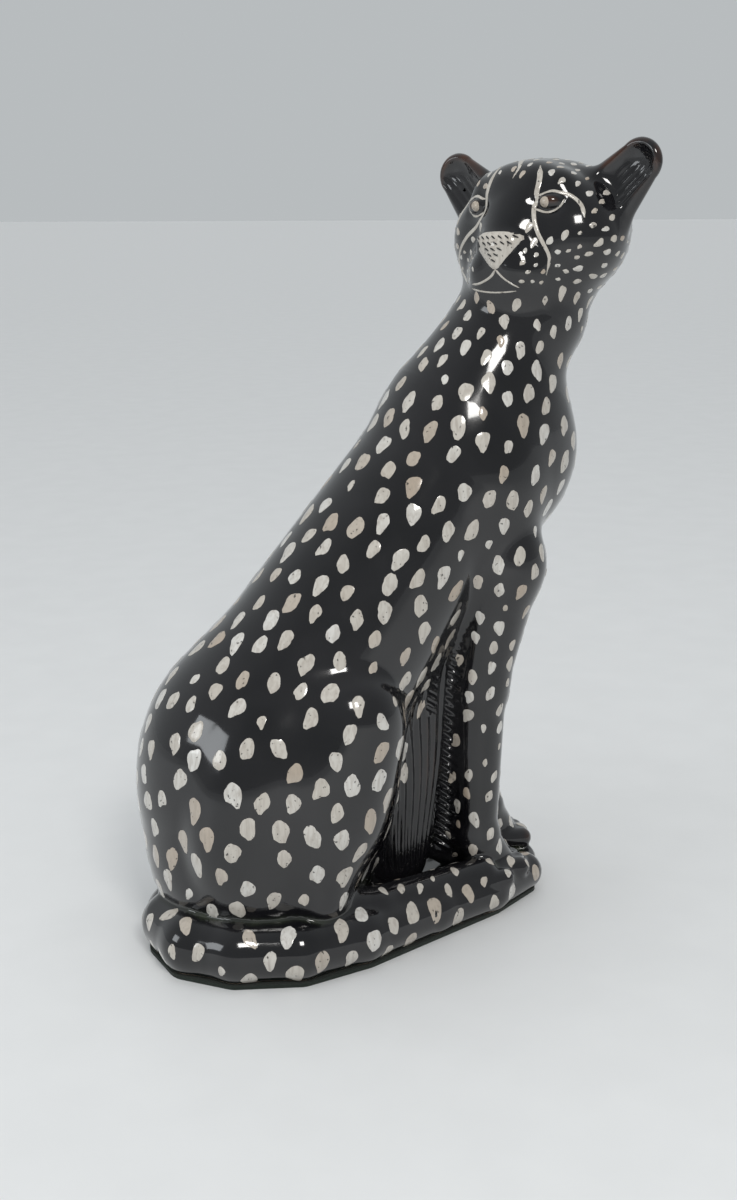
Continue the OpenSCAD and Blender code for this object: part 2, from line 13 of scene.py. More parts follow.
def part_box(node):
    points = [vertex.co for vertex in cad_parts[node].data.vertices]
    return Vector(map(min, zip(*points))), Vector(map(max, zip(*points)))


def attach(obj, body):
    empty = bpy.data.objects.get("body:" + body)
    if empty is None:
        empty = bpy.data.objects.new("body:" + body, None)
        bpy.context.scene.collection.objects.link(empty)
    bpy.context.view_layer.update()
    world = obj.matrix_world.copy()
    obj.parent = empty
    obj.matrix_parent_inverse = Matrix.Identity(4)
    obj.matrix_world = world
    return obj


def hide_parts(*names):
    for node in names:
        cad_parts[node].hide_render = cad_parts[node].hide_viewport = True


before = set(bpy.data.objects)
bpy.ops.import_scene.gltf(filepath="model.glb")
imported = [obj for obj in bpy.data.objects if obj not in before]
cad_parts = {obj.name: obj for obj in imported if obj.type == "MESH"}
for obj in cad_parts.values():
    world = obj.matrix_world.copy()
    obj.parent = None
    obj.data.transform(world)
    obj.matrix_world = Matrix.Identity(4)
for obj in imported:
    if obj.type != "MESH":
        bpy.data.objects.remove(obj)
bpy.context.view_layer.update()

MM = 0.001
SEED = 7


def box_mm(node):
    """Lowest and highest corner of a CAD node, in millimetres."""
    low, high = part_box(node)
    return np.array(low) / MM, np.array(high) / MM


# ---------- sizes, in millimetres ----------

FIGURE_LOW, FIGURE_HIGH = box_mm("ceramic_figure")
SOCKET_LOW, SOCKET_HIGH = box_mm("socket_shell")
GROMMET_LOW, GROMMET_HIGH = box_mm("cord_grommet")
PIPE_LOW, PIPE_HIGH = box_mm("lamp_pipe")
LAMP_X = (SOCKET_LOW[0] + SOCKET_HIGH[0]) / 2
CORD_Z = (GROMMET_LOW[2] + GROMMET_HIGH[2]) / 2
BOTTOM = FIGURE_LOW[2]
FLOOR_LOW = box_mm("lower_washer")[1][2]
FLOOR_TOP = box_mm("cushion_washer")[0][2]
PIPE_R = (PIPE_HIGH[0] - PIPE_LOW[0]) / 2
WALL = 6.0
FOOT_H = 12.0
HEAD_AT = np.array([117.5, -3.0, 293.0])
HEAD_TURN = (3.0, 0.0, -149.0)
WINDOW_X, WINDOW_R = 4.0, 22.0
WINDOW_LOW, WINDOW_ARCH = 34.0, 118.0
WINDOW_DEPTH = 16.0
CELL = 1.5
# The ear is this much thinner from front to back than a round cone
EAR_SQUASH = 1.9
# Keeps the squashed field close to a true distance
EAR_STRETCH = 1.3
EAR_RIDGE, EAR_RIDGE_DEPTH = 4.0, 0.35
STROKE_GAP, RUNG_GAP, COMB_DEPTH = 4.8, 4.0, 1.1
# Tail, from its root round the right side to its tip: x, y, z, radius
TAIL = [(-50, -6, 12.5, 13), (-47, -26, 12.5, 13), (-32, -40, 12.5, 13), (-8, -48, 12.5, 12.5),
        (20, -45, 11.5, 11.5), (58, -33, 10.5, 10.5), (90, -24, 9.5, 9.5), (114, -12, 9, 8.5)]


# ---------- distance field ----------

def turned(angles):
    """Rotation matrix for turns about x, then y, then z, in degrees."""
    x, y, z = (Matrix.Rotation(math.radians(a), 3, axis) for a, axis in zip(angles, "XYZ"))
    return np.array(z @ y @ x)


def limb(p, a, ra, b, rb):
    """Round-ended limb from a to b, with a radius at each end."""
    a = np.array(a, float)
    along = np.array(b, float) - a
    t = np.clip(((p - a) @ along) / (along @ along), 0, 1)
    return np.linalg.norm(p - a - t[:, None] * along, axis=1) - (ra + (rb - ra) * t)


def egg(p, centre, radii, turn=None):
    """Ellipsoid, near enough a distance close to its surface."""
    q = p - np.array(centre, float)
    if turn:
        q = q @ turned(turn)
    r = np.array(radii, float)
    k = np.linalg.norm(q / r, axis=1)
    return k * (k - 1) / np.maximum(np.linalg.norm(q / (r * r), axis=1), 1e-9)


def join(a, b, k):
    """Union with a soft crease of width k."""
    h = np.maximum(k - np.abs(a - b), 0) / k
    return np.minimum(a, b) - h * h * k / 4


def carve(a, b, k):
    """What a and b share, with an edge of width k; carve(a, -b, k) cuts b away from a."""
    return -join(-a, -b, k)


def core(p):
    """Rump, back, chest and neck."""
    d = egg(p, (-4, 2, 66), (56, 47, 62))
    d = join(d, limb(p, (-2, 0, 88), 47, (76, 0, 196), 37), 20)
    d = join(d, egg(p, (99, 0, 202), (37, 31, 42), (0, 22, 0)), 18)
    d = join(d, limb(p, (86, 0, 222), 31, (112, -1, 262), 25), 16)
    return join(d, limb(p, (112, -1, 262), 25, (118, -3, 286), 24), 8)


def thigh(p, side):
    """Folded hind leg: haunch, knee and the shin down to the heel."""
    d = egg(p, (-3, side * 30, 70), (43, 25, 56), (0, 22, 0))
    d = join(d, limb(p, (20, side * 37, 106), 20, (10, side * 37, 66), 20), 14)
    return join(d, limb(p, (22, side * 38, 98), 17, (3, side * 39, 32), 14), 6)


def thighs(p):
    return np.minimum(thigh(p, -1), thigh(p, 1))


def seat(p):
    """Bottom of the rump, spreading to the tail that lies round it."""
    return egg(p, (-9, -3, 34), (46, 43, 36))


def foreleg(p, side):
    """Shoulder, upper arm, straight forearm and paw. The left paw stands further forward."""
    ahead = 0 if side < 0 else 16
    back = 0 if side < 0 else -3
    y = side * 14
    d = egg(p, (84 + back, y, 198), (26, 23, 40), (0, 20, 0))
    d = join(d, limb(p, (90 + back, side * 17, 190), 19, (94 + back, side * 18.5, 158), 18.5), 10)
    d = join(d, limb(p, (94 + back, side * 18.5, 158), 18.5, (87, side * 15, 104), 13), 8)
    d = join(d, limb(p, (87, side * 15, 104), 12.5, (88 + ahead, y, 36), 9.5), 6)
    d = join(d, limb(p, (89 + ahead, y, 30), 10.5, (97 + ahead, y, 19), 9), 5)
    for k in (-1.5, -0.5, 0.5, 1.5):
        toe = limb(p, (96 + ahead, y + k * 4.6, 17.5), 5, (108 + ahead - abs(k), y + k * 5, 16.5), 4.6)
        d = join(d, toe, 1.6)
    return d


def forelegs(p):
    return np.minimum(foreleg(p, -1), foreleg(p, 1))


def hind_foot(p, side):
    """Long hind foot lying along the base, with three toes."""
    toe_y = -24 if side < 0 else 34
    d = limb(p, (4, side * 38, 22), 11, (30, side * 37, 18.5), 8.5)
    d = join(d, limb(p, (30, side * 37, 18.5), 8.5, (86, toe_y, 18), 7.5), 3)
    for k in (-1, 0, 1):
        toe = limb(p, (84, toe_y + k * 4.2, 16.5), 5, (96, toe_y + k * 4.4, 16), 4.2)
        d = join(d, toe, 1.4)
    return d


def hind_feet(p):
    return np.minimum(hind_foot(p, -1), hind_foot(p, 1))


def fade(x, low, high):
    """0 below low, 1 above high, smooth between."""
    t = np.clip((x - low) / (high - low), 0, 1)
    return t * t * (3 - 2 * t)


def web(p):
    """Solid clay between the legs, combed with strokes that fan up and rungs along both edges."""
    d = limb(p, (60, 0, 138), 24, (48, 0, 26), 21)
    d = join(d, limb(p, (80, 0, 148), 15, (82, 0, 24), 11), 10)
    x, z = p[:, 0], p[:, 2]
    fan = (x - 58) * 190 / (z + 90) + 1.3 * np.sin(z / 14)
    strokes = 0.5 + 0.5 * np.cos(2 * np.pi * fan / STROKE_GAP)
    rungs = 0.5 + 0.5 * np.cos(2 * np.pi * (z + 0.7 * (x - 70)) / RUNG_GAP)
    front = fade(x, 69, 71) * fade(-x, -79, -77)
    middle = fade(x, 58, 60) * fade(-x, -66, -64) * fade(z, 92, 98)
    rung_share = np.maximum(front, middle)
    depth = strokes * (1 - rung_share) + rungs * rung_share
    reach = fade(z, 22, 30) * fade(-z, -142, -126)
    return d + COMB_DEPTH * depth * reach


def tail(p):
    d = None
    for a, b in zip(TAIL[:-1], TAIL[1:]):
        part = limb(p, a[:3], a[3], b[:3], b[3])
        d = part if d is None else join(d, part, 2.5)
    return d


def foot(p):
    """Low slab under the animal, with a rounded upper edge."""
    flat = p * np.array([1, 1, 0])
    rear = limb(flat, (-12, 0, 0), 47, (60, 8, 0), 34)
    front = limb(flat, (60, 8, 0), 34, (104, 8, 0), 24)
    return carve(np.minimum(rear, front), p[:, 2] - FOOT_H, 3)


def ear(q, side):
    """Broad ear that leans out to a blunt tip, hollow in front, with a few slanted ridges inside."""
    squash = np.array([EAR_SQUASH, 1, 1])

    def cone(root, root_radius, tip, tip_radius):
        """Cone with round ends, thin from front to back. Its ends are x, distance out and z."""
        ends = [np.array([x, side * y, z]) * squash for x, y, z in (root, tip)]
        return limb(q * squash, ends[0], root_radius, ends[1], tip_radius)

    shell = cone((-4.5, 29, 13), 14, (-6, 43.3, 27), 9.4)
    hollow = cone((4.5, 31, 14.5), 11.8, (-1.4, 42.8, 26.5), 8.2)
    across = q[:, 2] - q[:, 1] * side
    ridges = np.cos(2 * np.pi * across / EAR_RIDGE) * fade(q[:, 1] * side, 33, 37) * fade(-q[:, 2], -28, -24)
    return carve(shell, -(hollow + EAR_RIDGE_DEPTH * ridges), 2) / EAR_STRETCH


def head(p):
    """Broad round head in its own frame: x out of the face, y to the animal's left, z up."""
    q = (p - HEAD_AT) @ turned(HEAD_TURN)
    d = egg(q, (-7, 0, 4), (30, 36, 27))
    d = join(d, egg(q, (-2, 0, -6), (28, 34, 21)), 8)
    d = join(d, limb(q, (10, 0, 14), 13, (27, 0, -4), 9.5), 12)
    for s in (-1, 1):
        d = join(d, egg(q, (4, s * 18, 0), (17, 17, 17)), 9)
        d = join(d, limb(q, (12, s * 8, 19), 6, (12, s * 16, 19), 5), 9)
        d = join(d, egg(q, (26, s * 6.5, -13.5), (9.5, 9.5, 8.5)), 7)
    d = join(d, egg(q, (23, 0, -20), (9.5, 10, 6)), 6)
    d = join(d, limb(q, (32.2, -6, -2), 3, (32.2, 6, -2), 3), 4)
    d = join(d, limb(q, (33, 0, -4), 3.4, (33.6, 0, -9.5), 2.2), 4)
    for s in (-1, 1):
        d = carve(d, -egg(q, (25.4, s * 17.2, 13), (4.6, 7, 3.8), (0, 0, s * 34)), 4)
        d = join(d, egg(q, (19.2, s * 16.8, 13), (4.4, 5.4, 3.4), (0, 0, s * 32)), 1.4)
        d = join(d, ear(q, s), 5)
    return d


# Each part with the box that holds it, and the width of its crease with what came before
PARTS = [
    (seat, (-58, -48, 2), (40, 42, 72), 12),
    (lambda p: thigh(p, -1), (-60, -62, 10), (58, -2, 142), 5),
    (lambda p: thigh(p, 1), (-60, 2, 10), (58, 62, 142), 5),
    (web, (24, -28, 2), (98, 28, 168), 7),
    (lambda p: foreleg(p, -1), (50, -46, 8), (124, 4, 244), 6),
    (lambda p: hind_foot(p, -1), (-10, -52, 8), (104, -12, 36), 3),
    (lambda p: foreleg(p, 1), (50, -4, 8), (132, 46, 244), 6),
    (lambda p: hind_foot(p, 1), (-10, 24, 8), (104, 52, 36), 3),
    (head, (64, -56, 250), (172, 52, 338), 9),
    (foot, (-64, -56, -10), (134, 52, 16), 2.5),
    (tail, (-68, -66, -4), (126, 10, 30), 2),
]
NEAR = 14.0


def skin(p):
    """The outside of the figure."""
    d = core(p)
    for part, low, high, crease in PARTS:
        close = ((p > np.array(low) - NEAR) & (p < np.array(high) + NEAR)).all(1)
        if close.any():
            d[close] = join(d[close], part(p[close]), crease)
    return np.maximum(d, BOTTOM - p[:, 2])


def disc(p, centre, radius, axis):
    """Distance to an endless round bar along one axis."""
    return np.linalg.norm(np.delete(p - np.array(centre, float), axis, 1), axis=1) - radius


def window(p):
    """Arched light opening through the left flank."""
    x, z = p[:, 0] - WINDOW_X, p[:, 2]
    arch = np.hypot(x, z - WINDOW_ARCH) - WINDOW_R
    sides = carve(np.abs(x) - WINDOW_R, WINDOW_LOW - z, 8)
    return np.maximum(np.where(z > WINDOW_ARCH, arch, sides), WINDOW_DEPTH - p[:, 1])


def cuts(p):
    """Everything taken out of the solid animal: the hollow body, window, foot pocket and bores."""
    room = np.minimum(core(p), thighs(p)) + WALL
    d = np.maximum(room, FLOOR_TOP - p[:, 2])
    d = np.minimum(d, window(p))
    flat = p * np.array([1, 1, 0])
    pocket = limb(flat, (2, 2, 0), 34, (84, 4, 0), 14)
    d = np.minimum(d, np.maximum(pocket, p[:, 2] - (FOOT_H - 5)))
    d = np.minimum(d, np.maximum(disc(p, (2, 2, 0), 33, 2), p[:, 2] - FLOOR_LOW))
    d = np.minimum(d, np.maximum(disc(p, (LAMP_X, 0, 0), PIPE_R + 0.5, 2), p[:, 2] - 40))
    cord = (LAMP_X, 0, CORD_Z)
    tunnel = np.maximum(disc(p, cord, 4.6, 1), 20 - p[:, 1])
    recess = np.maximum(disc(p, cord, 7.2, 1), GROMMET_HIGH[1] - 2 - p[:, 1])
    trench = np.maximum(np.abs(p[:, 0] - LAMP_X) - 8, np.abs(p[:, 1] - 23.5) - 13.5)
    trench = np.maximum(trench, p[:, 2] - CORD_Z - 7)
    return np.minimum(np.minimum(d, tunnel), np.minimum(recess, trench))


def solid(p):
    """The hollow casting, with a lug behind it for the cord hole."""
    lug = limb(p, (LAMP_X, 34, 9), 8.5, (LAMP_X, 39, 9), 8.5)
    body = join(skin(p), np.maximum(lug, BOTTOM - p[:, 2]), 2)
    return carve(body, -cuts(p), 1.6)


# ---------- meshing the field ----------

CORNERS = np.array([(i, j, k) for i in (0, 1) for j in (0, 1) for k in (0, 1)])
EDGES = [(a, b) for a in range(8) for b in range(a + 1, 8) if np.abs(CORNERS[a] - CORNERS[b]).sum() == 1]
TETRAHEDRON = np.array([(1, 1, 1), (1, -1, -1), (-1, 1, -1), (-1, -1, 1)], float)


def slope(field, p, step):
    """Unit normals of the field, and how sharply it bends: positive on edges, negative in creases."""
    around = [field(p + step * corner) for corner in TETRAHEDRON]
    gradient = sum(d[:, None] * corner for d, corner in zip(around, TETRAHEDRON))
    normal = gradient / np.maximum(np.linalg.norm(gradient, axis=1), 1e-9)[:, None]
    bend = (sum(around) - 4 * field(p)) / (2 * step * step)
    return normal, bend


def settle(field, p, rounds=2, limit=1.2):
    """Moves points onto the surface of the field and returns them with their normals."""
    for _ in range(rounds):
        normal = slope(field, p, 0.3)[0]
        p = p - np.clip(field(p), -limit, limit)[:, None] * normal
    return p, slope(field, p, 0.4)[0]


def surface_net(field, low, high, cell, halvings):
    """Quads on the zero surface of a field, found by halving only the cells that lie near it."""
    size = cell * 2 ** halvings
    count = np.ceil((high - low) / size).astype(int)
    cells = np.stack(np.meshgrid(*[np.arange(n) for n in count], indexing="ij"), -1).reshape(-1, 3)
    for level in range(halvings + 1):
        reach = size * (1.6 if level == 0 else 1.2)
        cells = cells[np.abs(field(low + (cells + 0.5) * size)) < reach]
        if level < halvings:
            cells = (cells[:, None] * 2 + CORNERS).reshape(-1, 3)
            size /= 2
    span = count * 2 ** halvings + 2

    def key(c):
        return (c[..., 0] * span[1] + c[..., 1]) * span[2] + c[..., 2]

    unique, inverse = np.unique(key(cells[:, None] + CORNERS).ravel(), return_inverse=True)
    places = np.stack([unique // (span[1] * span[2]), unique // span[2] % span[1], unique % span[2]], 1)
    value = field(low + places * cell)[inverse].reshape(-1, 8)
    inside = value < 0
    mixed = inside.any(1) & ~inside.all(1)
    cells, value, inside = cells[mixed], value[mixed], inside[mixed]
    total = np.zeros((len(cells), 3))
    hits = np.zeros(len(cells))
    for a, b in EDGES:
        cross = inside[:, a] != inside[:, b]
        t = value[cross, a] / (value[cross, a] - value[cross, b])
        total[cross] += CORNERS[a] + t[:, None] * (CORNERS[b] - CORNERS[a])
        hits[cross] += 1
    verts = low + (cells + total / hits[:, None]) * cell
    keys = key(cells)
    order = np.argsort(keys)
    keys = keys[order]
    faces = []
    for axis in range(3):
        u, v = np.eye(3, dtype=int)[[(axis + 1) % 3, (axis + 2) % 3]]
        cross = inside[:, 0] != inside[:, 4 >> axis]
        at = cells[cross]
        quad = np.stack([order[np.searchsorted(keys, key(c))] for c in (at, at - u, at - u - v, at - v)], 1)
        outward = inside[cross, 0]
        quad[~outward] = quad[~outward][:, ::-1]
        faces.append(quad)
    return verts, np.concatenate(faces)


def refine(verts, faces, wanted):
    """Splits each quad whose corners are all wanted into four; its neighbours take up the midpoints."""
    split = wanted[faces].all(1)
    ends = np.sort(np.stack([faces, np.roll(faces, -1, 1)], -1), -1)
    codes = ends[..., 0] * len(verts) + ends[..., 1]
    cut, inverse = np.unique(codes[split], return_inverse=True)
    quads, at = faces[split], len(verts) + inverse.reshape(-1, 4)
    centre = len(verts) + len(cut) + np.arange(len(quads))
    halfway = (verts[cut // len(verts)] + verts[cut % len(verts)]) / 2
    points = np.vstack([verts, halfway, verts[quads].mean(1)])
    polygons = [np.stack([quads[:, k], at[:, k], centre, at[:, k - 1]], 1) for k in range(4)]
    touched = ~split & np.isin(codes, cut).any(1)
    polygons = np.concatenate(polygons + [faces[~split & ~touched]]).tolist()
    middle = {code: len(verts) + i for i, code in enumerate(cut.tolist())}
    for face, sides in zip(faces[touched].tolist(), codes[touched].tolist()):
        ring = []
        for corner, code in zip(face, sides):
            ring.append(corner)
            if code in middle:
                ring.append(middle[code])
        polygons.append(ring)
    return points, polygons


def new_mesh(name, verts_mm, faces, normals=None, **attributes):
    """Mesh object in metres, with its normals and float attributes."""
    mesh = bpy.data.meshes.new(name)
    if not isinstance(faces, list):
        faces = faces.tolist()
    mesh.from_pydata((np.asarray(verts_mm) * MM).tolist(), [], faces)
    for label, values in attributes.items():
        attribute = mesh.attributes.new(label, "FLOAT", "POINT")
        attribute.data.foreach_set("value", np.asarray(values, np.float32))
    mesh.shade_smooth()
    if normals is not None:
        mesh.normals_split_custom_set_from_vertices(normals.tolist())
    thing = bpy.data.objects.new(name, mesh)
    bpy.context.scene.collection.objects.link(thing)
    return thing


def fine_area(p):
    """Where the sculpt needs smaller faces: the head, and the combed web on both sides."""
    face = (p[:, 2] > 262) & (((p - HEAD_AT) @ turned(HEAD_TURN))[:, 0] > -14)
    combed = (web(p) < 1.5) & (core(p) > 2) & (p[:, 2] > 20) & (p[:, 2] < 140)
    return (face | combed) & (skin(p) > -1.0)


def build_figure():
    """Meshes the casting. bare is 1 on unglazed clay, thin is 1 on edges and pool is 1 in creases."""
    low, high = FIGURE_LOW - 6, FIGURE_HIGH + 8
    verts, faces = surface_net(solid, low, high, CELL, 3)
    verts, _ = settle(solid, verts, 1)
    verts, faces = refine(verts, faces, fine_area(verts))
    verts, normals = settle(solid, verts, 1)
    depth = skin(verts)
    bend = slope(skin, verts, 2.5)[1]
    bare = fade(-depth, 1.6, 3.0)
    bare = np.maximum(bare, 1 - fade(verts[:, 2], BOTTOM + 0.2, BOTTOM + 1.4))
    figure = new_mesh("ceramic_body", verts, faces, normals, bare=bare, thin=fade(bend, 0.2, 0.5),
                      pool=fade(-bend, 0.12, 0.5) * fade(-verts[:, 2], -60, -20))
    outside = (depth > -0.4) & (verts[:, 2] > BOTTOM + 3)
    return figure, verts[outside], normals[outside]


# ---------- spots and face lines ----------

class Decor:
    """Collects thin raised pieces that lie on the skin of the figure."""

    def __init__(self):
        self.verts, self.faces, self.tones = [], [], []

    def add(self, verts, faces, tone):
        start = len(self.verts)
        self.verts.extend(map(tuple, verts))
        self.faces.extend(tuple(start + i for i in face) for face in faces)
        self.tones.extend([tone] * len(verts))

    def finish(self, name, material):
        thing = new_mesh(name, self.verts, self.faces, tone=self.tones)
        thing.data.set_sharp_from_angle(angle=math.radians(50))
        thing.data.materials.append(material)
        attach(thing, "lamp")
        return thing


def curve_through(points, step=0.9):
    """Points along a smooth curve that passes through the given ones."""
    points = np.array(points, float)
    ends = np.vstack([2 * points[0] - points[1], points, 2 * points[-1] - points[-2]])
    runs = []
    for a, b, c, d in zip(ends[:-3], ends[1:-2], ends[2:-1], ends[3:]):
        t = np.linspace(0, 1, max(2, int(np.linalg.norm(c - b) / step)), endpoint=False)[:, None]
        runs.append(b + 0.5 * t * ((c - a) + t * ((2 * a - 5 * b + 4 * c - d) + t * (3 * b - a - 3 * c + d))))
    return np.vstack(runs + [points[-1:]])


def from_head(q):
    """Head frame to the figure's frame."""
    return HEAD_AT + np.asarray(q, float) @ turned(HEAD_TURN).T


def ribbon(decor, points, width, end_width, tone, lift=0.2):
    """Raised line with round shoulders and tapered ends, laid on the skin."""
    line, normal = settle(skin, curve_through(points), 3, 2.0)
    along = np.gradient(line, axis=0)
    side = np.cross(along, normal)
    side /= np.maximum(np.linalg.norm(side, axis=1), 1e-9)[:, None]
    share = np.linspace(0, 1, len(line))
    half = (width + (end_width - width) * share) / 2 * np.clip(np.minimum(share, 1 - share) * 12, 0.25, 1)
    rows = []
    for across, height in ((-1, 0.02), (-0.55, 1), (0.55, 1), (1, 0.02)):
        at, up = settle(skin, line + side * (across * half)[:, None], 1)
        rows.append(at + up * (height * lift))
    rows.append(line - normal * 0.6)
    verts = np.stack(rows, 1).reshape(-1, 3)
    n = len(rows)
    faces = [(i * n + k, (i + 1) * n + k, (i + 1) * n + (k + 1) % n, i * n + (k + 1) % n)
             for i in range(len(line) - 1) for k in range(n)]
    faces += [tuple(range(n)), tuple(reversed(range(len(verts) - n, len(verts))))]
    decor.add(verts, faces, tone)


def patches(decor, centres, rings, tones, lift=0.17):
    """Raised patches. rings holds the points around each patch's centre, ring by ring from its rim."""
    shape = rings.shape
    count, layers, rim = shape[:3]
    rings, normals = settle(skin, rings.reshape(-1, 3), 2, 1.6)
    rings, normals = rings.reshape(shape), normals.reshape(shape)
    middle, up = settle(skin, centres, 2)
    heights = np.array([0.03] + [lift] * (layers - 1))[:, None, None]
    last, top = (layers - 1) * rim, layers * rim
    faces = []
    for i in range(rim):
        j = (i + 1) % rim
        faces += [(r + i, r + j, r + rim + j, r + rim + i) for r in range(0, last, rim)]
        faces += [(last + i, last + j, top), (j, i, top + 1)]
    for k in range(count):
        if (normals[k, 0] @ up[k]).min() < 0.25:
            continue
        raised = (rings[k] + normals[k] * heights).reshape(-1, 3)
        decor.add(np.vstack([raised, middle[k] + up[k] * lift, middle[k] - up[k] * 0.9]), faces, tones[k])


CORE, THIGH, LEG, HIND, HEAD, WEB, TAIL_PART, FOOT = range(8)
# Width, length and spacing of the spots on each part
SPOT = {CORE: (5.7, 7.8, 11.0), THIGH: (6.1, 8.4, 11.8), LEG: (4.2, 5.8, 9.0), HIND: (3.6, 4.6, 8.4),
        HEAD: (2.4, 3.6, 5.9), WEB: (0, 0, 0), TAIL_PART: (6.4, 8.6, 11.8), FOOT: (0, 0, 0)}
NECK_SPOT = (3.5, 5.2, 7.8)
MUZZLE_SPOT = (1.6, 2.2, 4.2)
SPOT_RINGS = (1, 0.68)


def spot_sizes(p):
    """Width, length and spacing of a spot at each point; zero where the glaze stays plain."""
    near = [core(p), thighs(p), forelegs(p), hind_feet(p), head(p), web(p) + 1.5, tail(p), foot(p)]
    part = np.argmin(near, 0)
    size = np.array([SPOT[k] for k in range(len(near))])[part]
    q = (p - HEAD_AT) @ turned(HEAD_TURN)
    up = fade(p[:, 2], 222, 262)[:, None] * (part == CORE)[:, None]
    size = size * (1 - up) + np.array(NECK_SPOT) * up
    shoulder = fade(p[:, 2], 130, 185)[:, None] * (part == LEG)[:, None]
    size = size * (1 - shoulder) + np.array(SPOT[CORE]) * 0.92 * shoulder
    muzzle = (part == HEAD) & (q[:, 0] > 17) & (q[:, 2] < -5)
    size[muzzle] = MUZZLE_SPOT
    eyes = np.minimum(*[egg(q, (19, s * 19, 10), (14, 11.5, 11)) for s in (-1, 1)]) < 0
    middle = (q[:, 0] > 10) & (np.abs(q[:, 1]) < 11) & (q[:, 2] < 24)
    mouth = (q[:, 0] > 25) & (np.abs(q[:, 1]) < 8) | (q[:, 0] > 12) & (q[:, 2] < -19)
    ears = np.minimum(ear(q, -1), ear(q, 1)) < 1.2
    size[(part == HEAD) & (eyes | middle | mouth | ears)] = 0
    bend = slope(skin, p, 3)[1]
    edge = (window(p) < 4.5) | (bend < -0.10) | (bend > 0.55) | (p[:, 2] < 4.5)
    size[edge] = 0
    return size, part


def scatter(points, spacing, clear, rng):
    """Picks well-spaced points. Each new one is the closest that still keeps its distance."""
    jitter = 1 + 0.3 * rng.random(len(points))
    picks = []
    while True:
        score = np.where(clear >= 1, np.minimum(clear, 50) * jitter, np.inf)
        pick = int(np.argmin(score))
        if not np.isfinite(score[pick]):
            return picks
        picks.append(pick)
        apart = np.linalg.norm(points - points[pick], axis=1)
        clear = np.minimum(clear, apart * 2 / (spacing + spacing[pick]))


def spot_flow(p, part):
    """Which way the spots point: up the back on the body, upright on the legs and tail."""
    lean = np.where(part == CORE, 0.45, 0.1) * fade(-p[:, 2], -250, -215)
    flow = np.stack([lean, np.zeros(len(p)), np.ones(len(p))], 1)
    back = from_head([(-1.0, 0.0, 0.25)])[0] - HEAD_AT
    return np.where((part == HEAD)[:, None], back, flow)


def add_spots(decor, points, normals, lines):
    """Teardrop spots all over the glaze, each a little different."""
    rng = np.random.default_rng(SEED)
    keep = rng.permutation(len(points))
    points, normals = points[keep], normals[keep]
    size, part = spot_sizes(points)
    wanted = size[:, 2] > 0
    points, normals, size, part = points[wanted], normals[wanted], size[wanted], part[wanted]
    clear = np.full(len(points), 1e6)
    for line in lines:
        apart = np.linalg.norm(points[:, None] - line[None, ::2], axis=2).min(1)
        clear = np.where(apart < size[:, 0] / 2 + 1.2, 0, clear)
    picks = scatter(points, size[:, 2], clear, rng)
    centre, normal, size, part = points[picks], normals[picks], size[picks], part[picks]
    count, rim = len(picks), 20
    up = spot_flow(centre, part) + rng.normal(0, 0.16, (count, 3))
    up -= (up * normal).sum(1)[:, None] * normal
    up /= np.linalg.norm(up, axis=1)[:, None]
    side = np.cross(up, normal)
    scale = rng.uniform(0.82, 1.14, count) * np.where(rng.random(count) < 0.09, 0.6, 1)
    angle = np.linspace(0, 2 * np.pi, rim, endpoint=False)[None] + rng.normal(0, 0.02, (count, rim))
    radius = 1 + rng.normal(0, 0.025, (count, rim))
    for waves, height in ((2, 0.07), (3, 0.07), (4, 0.03)):
        radius += height * np.cos(waves * angle + rng.uniform(0, 6.3, (count, 1)))
    tip = np.pi + rng.normal(0, 0.35, (count, 1))
    radius += rng.uniform(0.12, 0.58, (count, 1)) * np.exp(-((angle - tip) / 0.40) ** 2)
    high = (radius * np.cos(angle) * (size[:, 1] * scale / 2)[:, None])[..., None]
    wide = (radius * np.sin(angle) * (size[:, 0] * scale / 2)[:, None])[..., None]
    outlines = (up[:, None] * high + side[:, None] * wide)[:, None]
    rings = centre[:, None, None] + outlines * np.array(SPOT_RINGS)[:, None, None]
    patches(decor, centre, rings, rng.random(count))


# Face lines in the head frame: width at the start, width at the end, and the points they pass
FACE_LINES = [
    (2.3, 1.2, [(15, -9, 27.5), (19.5, -10.3, 23.5), (22, -11.5, 17), (24, -11.5, 10), (25, -14.5, 5),
                (23, -20.5, 1), (20, -26.5, -5), (17, -29, -11), (21, -24, -15.5), (27, -18, -18)]),
    (2.3, 1.2, [(15.5, 10, 27), (19.6, 12, 22), (22.5, 12.2, 17), (24.5, 12.2, 11), (26, 13, 6),
                (26, 14.5, 1), (25.5, 16.5, -3), (24, 18.5, -9), (24.3, 17, -15.5)]),
    (3.2, 0.6, [(4, -4.5, 30.5), (12, -1, 29), (18, 1.5, 26.7), (21.5, 0.8, 22.5)]),
    (1.1, 0.8, [(36.5, 1, -12.5), (35.7, -2, -15.4), (34.5, -7.5, -17.7), (32, -12.5, -18)]),
    (1.0, 0.6, [(36.5, 1, -12.5), (36, 3, -15), (34.6, 6.6, -18), (32.5, 9.5, -20)]),
    (0.8, 0.6, [(31, -13, -19.7), (34, -5, -21.3), (34, 2, -21.6), (32.4, 8, -21.2)]),
]
EYE_LINES = [
    (1.3, 1.8, [(24, 11.8, 16), (21, 17, 17.4), (18.5, 21.5, 16.2), (16, 25, 14.5), (15, 28, 11),
                (16, 30, 6)]),
    (1.2, 1.0, [(24, 12.4, 10.6), (21.8, 16.8, 8.8), (19.8, 20.5, 10.4), (18.3, 22.6, 13.6)]),
]
